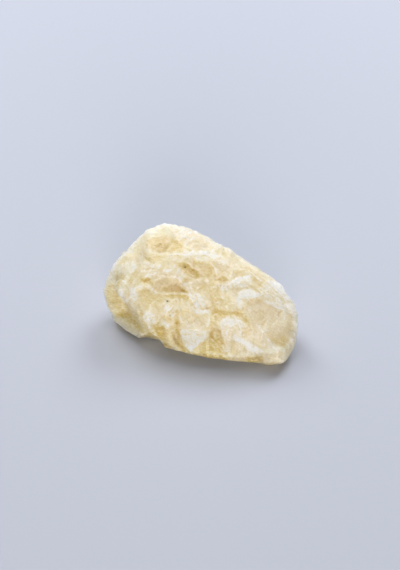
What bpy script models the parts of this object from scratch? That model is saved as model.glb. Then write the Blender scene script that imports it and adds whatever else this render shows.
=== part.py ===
"""Raw calcite: one broken lump of honey calcite, about 89 x 54 x 40 mm, as a single closed solid.

The lump starts as a block given by its corners. It is then dressed the way calcite breaks: flat
chips along the edges, stepped ledges, shell-shaped hollows and a few rounded knobs, and it is cut
flat where it rests. All shaping works on one number per direction: the reach, the distance in
millimetres from the heart of the stone to its skin.
"""

import math

import bmesh
import bpy
import numpy as np
from mathutils import Matrix, Vector, noise

MM = 0.001                           # the shaping is in millimetres, the finished mesh in metres
HEART = np.array((0.0, 0.0, 19.0))   # inside the stone; every reach is measured from here
HEART_ROOM = 5.0                     # nothing is broken away nearer the heart than this
SPHERE_LEVEL = 8                     # icosphere subdivisions of the skin before it is thinned
TRIANGLES = 10400                    # triangles left after thinning, before the foot is cut

# Corners of the block, in mm: X along the length, Y to the back, Z up from the resting face.
CORNERS = {
    # upper outline, from the left end over the summit and down the back ridge to the right end
    "left tip": (-43.5, -12.0, 20),
    "left tip low": (-42.0, -17.5, 15),
    "left shoulder": (-42.2, -9.0, 23.8),
    "left brow": (-37.7, -2.3, 29.0),
    "summit left": (-32.7, 5.8, 36.0),
    "summit": (-24.8, 11.1, 40.0),
    "summit right": (-15.2, 14.8, 37.7),
    "ridge a": (-7.7, 14.8, 35.4),
    "ridge b": (11.5, 14.0, 31.0),
    "ridge c": (28.3, 10.8, 26.4),
    "ridge d": (34.2, 10.5, 25.0),
    "ridge end": (39.2, 8.6, 22.2),
    "right brow": (42.7, 6.8, 17.3),
    "right side": (44.8, 2.0, 11.5),
    "right tip": (45.0, -3.0, 4.0),
    # middle ridge across the upper face
    "crest front": (-16.5, -6.5, 38),
    "crest back": (-9.0, -1.5, 38.5),
    "crest end": (8.0, 4.0, 33.5),
    # front shoulder, left to right
    "knob": (-32.0, -19.0, 24.5),
    "shoulder a": (-22.5, -22.5, 27),
    "shoulder b": (-8.5, -19.5, 26.5),
    "shoulder c": (3.0, -18.0, 24.5),
    "shoulder d": (14.0, -14.5, 22.5),
    "shoulder e": (23.5, -11.5, 22),
    "shoulder f": (31.0, -11.0, 19),
    "front corner": (39.0, -9.0, 9.5),
    # lower front edge, left to right
    "left rim": (-39.8, -20.0, 9.2),
    "rim a": (-33.4, -23.7, 3.8),
    "rim b": (-22.0, -26.3, 2.6),
    "rim c": (-7.0, -28.8, 5.5),
    "rim d": (6.0, -27.2, 5),
    "rim e": (20.0, -23.0, 4.5),
    "rim f": (31.0, -17.5, 3.5),
    "rim g": (40.0, -12.5, 1),
    "rim h": (43.2, -8.5, 2.5),
    # back, upper and lower
    "back brow left": (-32.0, 18.0, 27),
    "back brow": (-10.0, 24.0, 26),
    "back brow right": (20.4, 20.3, 19.6),
    "back left": (-37.0, 14.0, 14),
    "back middle": (-12.0, 27.0, 11),
    "back bulge": (8.0, 26.0, 12),
    "back right": (30.0, 18.5, 8),
    "back end": (39.5, 10.0, 6),
    # foot, where the sides turn under
    "foot left": (-29.0, -8.0, -1),
    "foot left back": (-24.0, 11.0, -1),
    "foot back": (-2.0, 15.0, -1),
    "foot right back": (26.0, 7.0, -1),
    "foot right": (35.0, -7.0, -1),
    "foot front right": (24.0, -10.0, -1),
    "foot front": (-6.0, -14.0, -1),
    "foot front left": (-25.0, -15.0, -1),
}

# Shell-shaped hollows: a place on the skin, the radius of the scoop and its depth there.
HOLLOWS = {
    "upper saddle": ((-21.5, -0.5, 38.5), 18.0, 2.4),
    "upper saddle right": ((-15.5, -1.5, 38.8), 12.0, 1.3),
    "left saddle": ((-31.0, -6.0, 32.0), 17.0, 1.5),
    "shell left": ((-13.0, -16.5, 29.0), 7.0, 2.3),
    "shell right": ((-6.5, -15.0, 29.5), 6.5, 2.6),
    "window": ((-3.0, -6.5, 34.5), 9.0, 1.3),
    "groove left of plate": ((0.0, -24.8, 10.5), 5.5, 1.7),
    "groove right of plate": ((13.5, -18.8, 14.5), 6.5, 2.0),
    "front left": ((-11.0, -24.5, 15.5), 7.5, 1.7),
    "right side": ((42.0, 0.0, 12.5), 8.0, 1.1),
    "valley": ((22.0, -9.5, 23.0), 7.0, 1.3),
    "back saddle": ((-14.0, 21.0, 31.0), 12.0, 2.4),
    "back left dish": ((-33.0, 14.0, 22.0), 15.0, 2.2),
    "back middle dish": ((4.0, 24.5, 17.0), 12.0, 2.2),
    "front low arch": ((-11.8, -28.0, 4.0), 8.0, 4.0),
}

# Notches: the region beyond all of a notch's planes is broken away. A plane is a point on it and
# the bearing and lift of its outward side.
NOTCHES = {
    "plate": (
        ((5.0, -19.6, 19.2), -66, 38),
        ((1.5, -17.8, 21.5), -100, -8),
        ((-1.0, -20.0, 19.0), 20, 10),
        ((12.0, -16.0, 20.0), 165, 20),
    ),
    "ledge under plate": (
        ((6.0, -22.6, 12.5), -72, 44),
        ((6.0, -22.0, 15.0), -80, -10),
        ((-1.5, -23.0, 14.0), 15, 10),
        ((12.5, -20.0, 12.0), 170, 10),
    ),
    "left recess": (
        ((-24.5, -23.8, 15.5), 190, -49),
        ((-25.0, -20.8, 11.0), -114, 6),
        ((-30.0, -22.0, 5.0), -110, 62),
        ((-38.5, -20.0, 10.0), 10, 20),
    ),
    "smooth facet": (
        ((29.5, -4.3, 21.0), -20, 57),
        ((24.0, -1.5, 25.0), -38, 8),
        ((30.0, -11.0, 18.0), 50, 30),
    ),
    "arc ledge": (
        ((15.0, -0.5, 28.2), -37, 69),
        ((15.0, -0.5, 28.2), -44, 12),
        ((9.0, -6.0, 29.0), 30, 5),
        ((21.5, 6.0, 29.0), -120, 10),
    ),
    "lower arc ledge": (
        ((21.0, -2.5, 25.4), -34, 66),
        ((21.0, -2.5, 25.4), -56, 8),
        ((14.0, -8.0, 26.0), 20, 5),
    ),
    "upper arc ledge": (
        ((3.0, 1.5, 33.6), -50, 68),
        ((3.0, 1.5, 33.6), -62, 14),
        ((-5.0, -2.0, 35.0), 15, 5),
        ((9.5, 6.0, 32.0), -155, 10),
    ),
    "window facet": (
        ((-3.5, -5.5, 33.4), -70, 46),
        ((-3.5, -4.2, 34.6), -75, 0),
        ((-8.0, -6.0, 34.0), -5, 0),
        ((2.0, -8.5, 32.0), 150, 55),
    ),
    "ridge band": (
        ((24.0, 11.2, 28.4), 52, 62),
        ((24.0, 11.2, 28.4), 73, 8),
    ),
    "shoulder arc": (
        ((-19.5, -20.0, 27.2), -82, 52),
        ((-19.5, -20.0, 27.2), -60, -4),
        ((-23.5, -20.0, 27.0), 20, 10),
    ),
    "back right flat": (
        ((26.0, 17.2, 14.5), 68, 8),
    ),
    "back low flat": (
        ((-17.0, 22.5, 8.0), 104, -20),
    ),
    "back middle flat": (
        ((7.0, 23.2, 17.0), 84, 14),
    ),
    "left end flat": (
        ((-40.6, -1.5, 14.0), 170, -4),
    ),
    "back step": (
        ((-3.0, 20.5, 29.5), 82, 58),
        ((-3.0, 20.5, 29.5), 96, 8),
    ),
    "back low step": (
        ((12.0, 24.0, 15.0), 70, 18),
        ((12.0, 24.0, 15.0), 60, -50),
    ),
    "left end step": (
        ((-40.0, -2.0, 25.0), 175, 30),
        ((-40.0, -2.0, 25.0), 160, -24),
    ),
}

# Clean cleavage faces, without lumps: their middle and radius.
CLEAN = {
    "smooth facet": ((30.5, -5.0, 20.5), 9.0),
    "front right face": ((24.0, -15.0, 15.0), 8.0),
    "plate": ((6.0, -20.0, 18.0), 6.0),
    "window facet": ((0.5, -4.0, 34.0), 6.0),
    "amber face": ((14.0, -19.5, 13.0), 5.0),
    "back face": ((20.0, 20.0, 17.0), 8.0),
    "left end": ((-41.0, -6.0, 17.0), 7.0),
}

# Rounded lumps: centre and radius.
LUMPS = {
    "knob": ((-29.8, -19.2, 22.0), 4.8),
    "foot lobe": ((37.0, -9.2, 4.6), 6.7),
    "ridge lump": ((26.0, 8.5, 24.0), 4.6),
    "rim lump": ((-33.0, -18.5, 4.0), 4.6),
    "back lump": ((-24.0, 18.0, 15.0), 6.5),
}

CHIPS = 90                    # small flats broken off at places spread evenly over the skin
CHIP_DEPTH = (0.3, 1.1)       # least and greatest depth of a chip
CHIP_TILT = 0.16              # how far a chip may lean from the skin under it
CHIP_SPREAD = 14.0            # no chip reaches further than this from its own spot
CHIP_ALLOWANCE = 0.6          # the block is this much larger, for what the chips take away
GRAINS = 46                   # crystal grains that make up the lump, each with its own cleavages
CLEAVAGE_LEAN = math.radians(44.6)   # angle from a calcite grain's axis to its cleavage faces
TERRACE = (1.2, 2.2)          # least and greatest height of the steps in which a grain breaks
TERRACE_SHARE = 0.32          # how flat the steps are, from 0, not at all, to 1, wholly
TERRACE_FACING = (0.8, 0.9)   # steps begin where the skin faces a cleavage this well, and are full here
TERRACE_WANDER = 0.7          # how far a terrace's edge wanders, in steps
TERRACE_SPACING = 6.0         # and the spacing of its turns
NEIGHBOURHOOD = 4.0           # how far around a spot the skin's mean direction is taken
ROUGHNESS = 0.7               # waviness of the faces of notches and hollows
ROUGHNESS_SPACING = 6.0       # and the spacing of its waves
GRIT = 0.38                   # height of the small lumps all over
GRIT_SPACING = 3.6            # and their spacing
SMOOTHING = 3                 # passes that take the razor edge off the breaks
FOOT_TOLERANCE = 0.02         # points this close to the resting plane are put on it
SEED = 7

HONEY = (0.72, 0.53, 0.26, 1.0)      # colour of the stone
DULLNESS = 0.45                      # its roughness
GLOW = (0.3, 0.004)                  # share of the light that spreads inside it, and how far in metres


def towards(bearing, lift):
    """Unit vector at a bearing (degrees from +X towards +Y) and a lift above the horizontal."""
    turn, rise = math.radians(bearing), math.radians(lift)
    return np.array((math.cos(turn) * math.cos(rise), math.sin(turn) * math.cos(rise), math.sin(rise)))


def crossing(rays, point, normal):
    """How far along each ray the plane lies, and whether the ray goes out through it."""
    along = rays @ normal
    gap = (np.array(point) - HEART) @ normal
    return gap / np.where(np.abs(along) < 1e-6, 1e-6, along), along > 0


def block(rays):
    """Reach of the block whose corners are CORNERS."""
    bm = bmesh.new()
    for corner in CORNERS.values():
        bm.verts.new(corner)
    bmesh.ops.convex_hull(bm, input=bm.verts)
    reach = np.full(len(rays), np.inf)
    for face in bm.faces:
        face.normal_update()
        normal = np.array(face.normal)
        if (face.verts[0].co - Vector(HEART)) @ face.normal < 0:
            normal = -normal
        point = np.array(face.verts[0].co) + normal * CHIP_ALLOWANCE
        distance, outward = crossing(rays, point, normal)
        reach = np.where(outward, np.minimum(reach, distance), reach)
    bm.free()
    return reach


def notch(reach, rays, planes, roughness):
    """Break away what lies beyond all the planes, leaving faces as rough as is given."""
    start = np.zeros(len(rays))
    end = np.full(len(rays), np.inf)
    for point, bearing, lift in planes:
        distance, outward = crossing(rays, point, towards(bearing, lift))
        distance = distance + roughness
        start = np.where(outward, np.maximum(start, distance), start)
        end = np.where(outward, end, np.minimum(end, distance))
    broken = (start < reach) & (end > reach) & (start > HEART_ROOM)
    return np.where(broken, start, reach)


def ball(rays, centre, radius):
    """Where each ray goes into and comes out of a ball; both are 0 where it misses."""
    offset = np.asarray(centre) - HEART
    middle = rays @ offset
    inside = radius ** 2 - (offset @ offset - middle ** 2)
    half = np.sqrt(np.maximum(inside, 0))
    hit = (inside > 0) & (middle > 0)
    return np.where(hit, middle - half, 0), np.where(hit, middle + half, 0)


def hollow(reach, rays, places, normals, spot, radius, depth, roughness):
    """Scoop a shell-shaped hollow, rough inside, into the skin next to a spot."""
    outward = local_normal(places, normals, spot, NEIGHBOURHOOD)
    nearest = places[((places - spot) ** 2).sum(axis=1).argmin()]
    enter, leave = ball(rays, nearest + outward * (radius - depth), radius)
    enter = enter + roughness * (enter > 0)
    return np.where((enter > 0) & (leave > reach), np.minimum(reach, enter), reach)


def skin(rays, reach):
    """Places of the skin."""
    return HEART + rays * reach[:, None]


def outward_normals(places, triangles):
    """Unit normal of the skin at each place."""
    a, b, c = (places[triangles[:, k]] for k in range(3))
    flat = np.cross(b - a, c - a)
    normals = np.zeros_like(places)
    for k in range(3):
        np.add.at(normals, triangles[:, k], flat)
    return normals / np.linalg.norm(normals, axis=1)[:, None]


def local_normal(places, normals, spot, width):
    """Mean normal of the skin around a spot."""
    weight = np.exp(-((places - spot) ** 2).sum(axis=1) / width ** 2)
    mean = (normals * weight[:, None]).sum(axis=0)
    return mean / np.linalg.norm(mean)


def smooth(values, edges, passes):
    """Move each value to the mean of itself and its neighbours' mean."""
    count = np.bincount(edges.ravel(), minlength=len(values))[:, None]
    for _ in range(passes):
        total = np.zeros_like(values)
        np.add.at(total, edges[:, 0], values[edges[:, 1]])
        np.add.at(total, edges[:, 1], values[edges[:, 0]])
        values = (values + total / count) / 2
    return values


def waves(places):
    """Smooth noise between about -1 and 1 at each place, one wave to a unit of length."""
    return np.array([noise.noise(Vector(place)) for place in places])


def rough_share(places):
    """1 where the skin is lumpy, falling to 0 on the clean cleavage faces."""
    share = np.ones(len(places))
    for middle, radius in CLEAN.values():
        away = np.sqrt(((places - middle) ** 2).sum(axis=1)) / radius
        share = np.minimum(share, np.clip(away * 2 - 1, 0, 1))
    return share


def cleavage_normals(bearing, lift):
    """The three cleavage directions of a grain whose axis is given."""
    axis = Vector(towards(bearing, lift))
    side = axis.orthogonal().normalized()
    first = axis * math.cos(CLEAVAGE_LEAN) + side * math.sin(CLEAVAGE_LEAN)
    turns = (Matrix.Rotation(math.radians(turn), 3, axis) for turn in (0, 120, 240))
    return [np.array(turn @ first) for turn in turns]


def chip(reach, rays, triangles, picker):
    """Break small flats off all round."""
    places = skin(rays, reach)
    normals = outward_normals(places, triangles)
    golden = math.pi * (3 - math.sqrt(5))
    for k in range(CHIPS):
        height = 1 - 2 * (k + 0.5) / CHIPS
        ring = math.sqrt(1 - height * height)
        ray = np.array((ring * math.cos(golden * k), ring * math.sin(golden * k), height))
        spot = places[np.argmax(rays @ ray)]
        lean = local_normal(places, normals, spot, NEIGHBOURHOOD) + picker.normal(0, CHIP_TILT, 3)
        lean /= np.linalg.norm(lean)
        depth = picker.uniform(*CHIP_DEPTH)
        near = ((places - spot) ** 2).sum(axis=1) < CHIP_SPREAD ** 2
        top = ((places[near] - spot) @ lean).max()
        distance, outward = crossing(rays, spot + lean * (top - depth), lean)
        reach = np.where(outward & near, np.minimum(reach, distance), reach)
    return reach


def terraces(places, normals, picker):
    """Shift of the skin that makes each grain break in steps along its cleavages."""
    shift = np.zeros_like(places)
    low, high = places.min(axis=0), places.max(axis=0)
    centres = picker.uniform(low, high, (GRAINS, 3))
    grain = np.argmin([((places - centre) ** 2).sum(axis=1) for centre in centres], axis=0)
    wobble = TERRACE_WANDER * waves(places / TERRACE_SPACING)
    share = TERRACE_SHARE * rough_share(places)
    least, full = TERRACE_FACING
    for k in range(GRAINS):
        mine = grain == k
        height = picker.uniform(*TERRACE)
        axis = picker.uniform((-180, -90), (180, 90))
        for direction in cleavage_normals(*axis):
            facing = np.abs(normals @ direction)
            weight = np.clip((facing - least) / (full - least), 0, 1) * mine * share
            level = places @ direction / height + wobble
            step = np.round(level) - level
            shift += (weight * step * height)[:, None] * direction
    return shift


def sphere():
    """A fine sphere, as a mesh whose points will be moved to the skin of the stone."""
    bm = bmesh.new()
    bmesh.ops.create_icosphere(bm, subdivisions=SPHERE_LEVEL, radius=1)
    mesh = bpy.data.meshes.new("skin")
    bm.to_mesh(mesh)
    bm.free()
    return mesh


def read(items, attribute, width, kind):
    """One attribute of a mesh's vertices, edges or polygons, a row each."""
    values = np.empty(len(items) * width, kind)
    items.foreach_get(attribute, values)
    return values.reshape(-1, width)


def shaped(mesh):
    """Places of the sphere's points on the finished skin, in mm."""
    rays = read(mesh.vertices, "co", 3, np.float32).astype(float)
    rays /= np.linalg.norm(rays, axis=1)[:, None]
    edges = read(mesh.edges, "vertices", 2, np.int32)
    triangles = read(mesh.polygons, "vertices", 3, np.int32)
    picker = np.random.default_rng(SEED)

    reach = block(rays)
    for centre, radius in LUMPS.values():
        reach = np.maximum(reach, ball(rays, centre, radius)[1])
    places = skin(rays, reach)
    normals = outward_normals(places, triangles)
    for number, planes in enumerate(NOTCHES.values()):
        roughness = ROUGHNESS * waves(places / ROUGHNESS_SPACING + number)
        reach = notch(reach, rays, planes, roughness)
    roughness = ROUGHNESS * waves(places / ROUGHNESS_SPACING)
    for spot, radius, depth in HOLLOWS.values():
        reach = hollow(reach, rays, places, normals, spot, radius, depth, roughness)
    reach = chip(reach, rays, triangles, picker)
    places = skin(rays, reach)
    reach = reach + GRIT * rough_share(places) * waves(places / GRIT_SPACING)
    places = smooth(skin(rays, reach), edges, SMOOTHING)
    normals = outward_normals(places, triangles)
    steps = terraces(places, normals, picker)
    return smooth(places + smooth(steps, edges, 1), edges, 1)


def thinned(mesh):
    """The same surface with TRIANGLES triangles, fine where it bends and coarse where it is flat."""
    rough = bpy.data.objects.new("rough", mesh)
    bpy.context.scene.collection.objects.link(rough)
    thin = rough.modifiers.new("thin", "DECIMATE")
    thin.ratio = TRIANGLES / len(mesh.polygons)
    thin.use_collapse_triangulate = True
    view = bpy.context.evaluated_depsgraph_get()
    result = bpy.data.meshes.new_from_object(rough.evaluated_get(view))
    bpy.data.objects.remove(rough)
    bpy.data.meshes.remove(mesh)
    return result


def cut_foot(mesh):
    """Cut the stone flat at z = 0 and put the origin under the middle of its box."""
    bm = bmesh.new()
    bm.from_mesh(mesh)
    everything = bm.verts[:] + bm.edges[:] + bm.faces[:]
    bmesh.ops.bisect_plane(bm, geom=everything, plane_co=(0, 0, 0), plane_no=(0, 0, 1),
                           dist=FOOT_TOLERANCE * MM, clear_inner=True)
    rim = [edge for edge in bm.edges if edge.is_boundary]
    bmesh.ops.contextual_create(bm, geom=rim)
    bmesh.ops.dissolve_degenerate(bm, edges=bm.edges, dist=FOOT_TOLERANCE * MM)
    for vert in bm.verts:
        if abs(vert.co.z) < FOOT_TOLERANCE * MM:
            vert.co.z = 0
    xs = [vert.co.x for vert in bm.verts]
    ys = [vert.co.y for vert in bm.verts]
    middle = Vector(((min(xs) + max(xs)) / 2, (min(ys) + max(ys)) / 2, 0))
    bmesh.ops.translate(bm, verts=bm.verts, vec=-middle)
    bmesh.ops.recalc_face_normals(bm, faces=bm.faces)
    bm.to_mesh(mesh)
    bm.free()


def calcite():
    """Pale honey-coloured stone with a dull sheen."""
    material = bpy.data.materials.new("calcite")
    material.use_nodes = True
    shader = material.node_tree.nodes["Principled BSDF"]
    shader.inputs["Base Color"].default_value = HONEY
    shader.inputs["Roughness"].default_value = DULLNESS
    shader.inputs["Metallic"].default_value = 0.0
    shader.inputs["Subsurface Weight"].default_value = GLOW[0]
    shader.inputs["Subsurface Scale"].default_value = GLOW[1]
    material.diffuse_color = HONEY
    return material


def main():
    for old in list(bpy.data.objects):
        bpy.data.objects.remove(old)
    mesh = sphere()
    mesh.vertices.foreach_set("co", (shaped(mesh) * MM).ravel())
    mesh = thinned(mesh)
    cut_foot(mesh)
    mesh.name = "calcite"
    mesh.materials.append(calcite())
    stone = bpy.data.objects.new("calcite", mesh)
    bpy.context.scene.collection.objects.link(stone)


main()
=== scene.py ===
"""Looks of the raw calcite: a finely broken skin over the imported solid, its stone material, a
floor, soft light and a camera."""
import math

import bpy
import numpy as np
from mathutils import Matrix, Vector, noise


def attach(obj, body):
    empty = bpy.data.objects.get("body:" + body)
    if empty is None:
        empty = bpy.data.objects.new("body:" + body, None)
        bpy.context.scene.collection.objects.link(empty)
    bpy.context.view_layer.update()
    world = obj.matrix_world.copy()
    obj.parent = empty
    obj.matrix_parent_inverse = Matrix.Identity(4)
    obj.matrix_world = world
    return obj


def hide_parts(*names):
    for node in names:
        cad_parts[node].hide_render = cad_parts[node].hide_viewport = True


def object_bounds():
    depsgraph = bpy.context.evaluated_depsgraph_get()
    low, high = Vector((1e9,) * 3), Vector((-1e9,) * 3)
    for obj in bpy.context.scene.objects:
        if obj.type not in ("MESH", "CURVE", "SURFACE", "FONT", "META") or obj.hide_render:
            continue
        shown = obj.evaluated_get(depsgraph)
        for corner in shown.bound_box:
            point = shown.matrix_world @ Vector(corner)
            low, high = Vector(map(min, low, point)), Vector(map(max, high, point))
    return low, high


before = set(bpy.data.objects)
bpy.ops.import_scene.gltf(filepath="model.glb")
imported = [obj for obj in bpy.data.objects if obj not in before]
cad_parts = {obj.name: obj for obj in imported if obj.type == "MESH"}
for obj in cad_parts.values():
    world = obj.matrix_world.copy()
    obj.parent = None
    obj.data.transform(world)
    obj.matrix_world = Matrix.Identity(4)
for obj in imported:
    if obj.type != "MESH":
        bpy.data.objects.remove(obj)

CAD_BOX = [list(corner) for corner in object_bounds()]
MM = 0.001
SEED = 11

# ---- camera: seen from the front right and above, with a normal lens
AZIMUTH = math.radians(28)
ELEVATION = math.radians(40)
DISTANCE = 500.0  # mm from the aim
LENS, SENSOR = 70.0, 36.0  # mm, the sensor along the picture's long side
AIM = np.array((-5.0, 4.0, 18.0))  # mm
PICTURE = (400, 570)  # pixels
PIXELS_PER_SLOPE = LENS / SENSOR * PICTURE[1]

BACK = np.array((math.sin(AZIMUTH) * math.cos(ELEVATION),
                 -math.cos(AZIMUTH) * math.cos(ELEVATION), math.sin(ELEVATION)))
RIGHT = np.array((math.cos(AZIMUTH), math.sin(AZIMUTH), 0.0))
UP = np.cross(BACK, RIGHT)
EYE = AIM + BACK * DISTANCE
AWAY = np.array((-math.sin(AZIMUTH), math.cos(AZIMUTH), 0.0))

# ---- light and floor
LIGHT_DISTANCE, LIGHT_SIZE = 1.6, 0.8  # m
SKY, SKY_COLOUR = 0.03, (0.93, 0.96, 1.0, 1.0)
# Each round soft box has its bearing from straight behind the stone (clockwise from above) and its
# height, both in degrees, its power in watts and its colour.
SOFT_BOXES = {
    "back right": (32, 40, 12.6, (0.96, 0.985, 1.04)),
    "back left": (-32, 40, 11.8, (0.97, 0.985, 1.02)),
    "front": (178, 12.5, 19.2, (1.0, 0.955, 0.895)),
    "top back": (0, 65, 5.8, (0.97, 0.985, 1.02)),
    "top left": (-90, 65, 2.3, (0.97, 0.985, 1.02)),
}
FLOOR_HALF = 3.0  # m
FLOOR_COLOUR, FLOOR_ROUGHNESS = (193, 197, 209), 0.6

# ---- fine skin, in mm; a facing or an amber range is where a change starts and its span
VOXEL = 0.42
MELT = 3  # smoothing passes that take the solid's facets away
CRYSTALS = 26  # grown-together crystals, each with its own cleavage
CLEAVAGE_LEAN = math.radians(44.6)
PLATES = {  # thickness and width, least and full facing
    "blocks": (0.9, 5.0, 0.9, 0.97),
    "plates": (0.25, 1.5, 0.75, 0.92),
}
BLOCK_AMOUNT = 0.7
PLATE_PASSES = 6  # smoothing passes of the form that plates lie along
PLATE_NOISE, PLATE_RAGGED = (1.6, 8.0), 0.25  # of their edges: wave to wave and shift, and reach
PLATE_MOVE, PLATE_CHANCE = 0.8, 0.4  # furthest move, and chance up or down, in thicknesses
CELL_ROWS, CELL_COLUMNS = 400, 2000
FRACTAL = (1.0, 2.0)  # how much fainter and finer each octave of a noise is
SHEET_SPACINGS = (0.9, 6.0, 6.0)  # wave to wave across and along a crystal's sheets
SHEET_SHIFT = 31.0  # sets one crystal's sheets apart from the next one's
SMOOTH_SHARE, SMOOTH_AMBER, SMOOTH_FROST = 0.85, (0.4, 0.25), (0.1, 0.5)
RELIEF_GAIN, RELIEF_FACING = 1.4, (0.05, 0.2)
RELIEF_WANDER = (2.6, 60.0, 80.0)  # wave to wave, and the shifts across and down
GRIT = ((2.6, 0.0, 0.16), (1.5, 0.0, 0.06), (0.9, 5.0, 0.08))  # wave to wave, shift, height
GRIT_GRAIN, GRIT_SHEETS = 0.03, 0.1  # heights of its grain and of the sheets
GRIT_PLAIN, GRIT_FROST = 0.35, 1.2  # share of the grit on plain skin, and more with frost
TUCK, TUCK_HEIGHT, TUCK_PASSES = 1.8, 5.0, 10  # how far, and how high up, the foot is drawn in
FOOT = 0.25  # height up to which the skin lies flat on the ground

# ---- colouring of the skin
# Each noise is (mm from wave to wave, octaves, shift that sets it apart from the others).
NOISES = {
    "mottle": (7.0, 3, 7.0),
    "cloud": (3.2, 4, 12.0),
    "patches": (2.0, 3, 50.0),
    "amber grain": (1.8, 2, 37.0),
    "frost grain": (1.5, 2, 33.0),
    "pools": (15.0, 2, 70.0),
    "frost zones": (11.0, 2, 30.0),
    "haze zones": (22.0, 2, 90.0),
}
UNDER_NOISE, DIRT_AND_SHADE_NOISE = (4.0, 3, 65.0), (1.1, 2, 55.0)
# Each recipe is a start and its share of the noises, the ridges and the amber pools.
SEEN_AMBER = {"start": 0.27, "mottle": 0.2, "ridge": -0.05}
SEEN_FROST = {"start": 0.18, "cloud": 0.3, "ridge": 0.1}
HIDDEN_AMBER = {"start": 0.34, "mottle": 0.16, "pool": 0.45, "ridge": -0.15}
HIDDEN_FROST = {"start": 0.1, "cloud": 0.8, "ridge": 0.55, "frost zones": 0.35}
HIDDEN_HAZE = {"start": 0.3, "haze zones": 0.9}
LINE_PATCHES, LINE_LEAST = {"start": 0.75, "patches": 0.7}, 0.2
CLOUD_SHEETS = 0.8  # how much the sheets add to the cloud
AMBER_GRAIN, FROST_CLOUD, FROST_GRAIN = 0.18, 0.4, 0.35
CLEAR_SHARE, CLEAR_AMBER = 0.8, (0.45, 0.5)  # honey skin loses its frost
POOL_SHADE, POOL_EDGE, POOL_START, POOL_CLEAR = 0.5, 4.0, 0.6, 0.85
SEEN_FACING = (-0.12, 0.2)
WANDERS = ((2.2, 20.0, 40.0), (0.9, 25.0, 45.0))  # as RELIEF_WANDER, coarse and fine
AREA_WANDERS, LINE_WANDER = (0.9, 0.6), 0.35  # pixels, of the coarse and fine one, of the coarse
RIDGE_PASSES, RIDGE_STAND = 40, 0.5  # a full ridge stands 0.5 mm out from the smoothed form
BULGE_PASSES, BULGE_STAND = 2, 0.06
BULGE_PLAIN, BULGE_FROST = 0.08, 0.3  # frost on bulges of plain skin, and more with frost
UNDER_PASSES, UNDER_FACING = 3, (0.1, 0.35)  # painted shade on skin that faces down: clear, deeper honey, darker
UNDER_START, UNDER_SHARE, UNDER_LEAST = 0.7, 0.9, 0.15
UNDER_CLEAR, UNDER_SHADE_AND_DIRT = 0.85, 0.2
DIRT_AND_SHADE_GRAINS, DIRT_AND_SHADE_FACING = 0.8, -0.2
LINE_SPREAD = 1.1  # how much wider than its half width a painted line is
SPECK_REACH = 1.5  # radii to a speck's end

# ---- material
STREAKS = (0.35, 1.1, 1.1)  # the fine marks run along the stone
FLECK = (0.7, 4, 0.8, STREAKS)  # mm from wave to wave, detail, roughness and stretch
DUST = (0.6, 4, 0.8, STREAKS)
CREAM = (1.0, 4, 0.8)
GRAIN = (0.45, 4, 0.7)
FLECK_RANGE = (0.3, 0.7, -0.32, 0.32)  # from low and high, to low and high
DUST_RANGE = (0.3, 0.7, -0.45, 0.45)
CREAM_RANGE = (0.42, 0.68, 0, 0.8)
CREAM_BY_FROST = (0.5, 1.0, 1.0, 0.25)
GRAIN_BY_WHITE = (0, 1, 0.25, 1.0)
ROUGHNESS_BY_WHITE = (0, 1, 0.28, 0.62)
AMBER_SHARE, HAZE_SHARE = 0.8, 0.6
BODY_COLOURS = (  # from clear to deep honey
    (0.0, (243, 237, 210)),
    (0.28, (234, 220, 176)),
    (0.52, (226, 207, 149)),
    (0.8, (214, 188, 108)),
    (1.0, (183, 152, 78)),
)
BLOOM_COLOURS = ((0.45, (254, 241, 220)), (0.95, (255, 249, 243)))  # from faint to full frost
HAZE_COLOUR = (223, 211, 192)
CREAM_COLOUR = (245, 232, 209)
# the colour of the specks and grit, and of painted shade
DIRT_AND_SHADE_COLOUR = (40, 26, 12)
SHADER = {
    "IOR": 1.5,
    "Subsurface Weight": 1.0,
    "Subsurface Radius": (1.0, 0.95, 0.88),
    "Subsurface Scale": 0.017,
}
BUMP = {"Strength": 0.5, "Distance": 0.0003}

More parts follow.
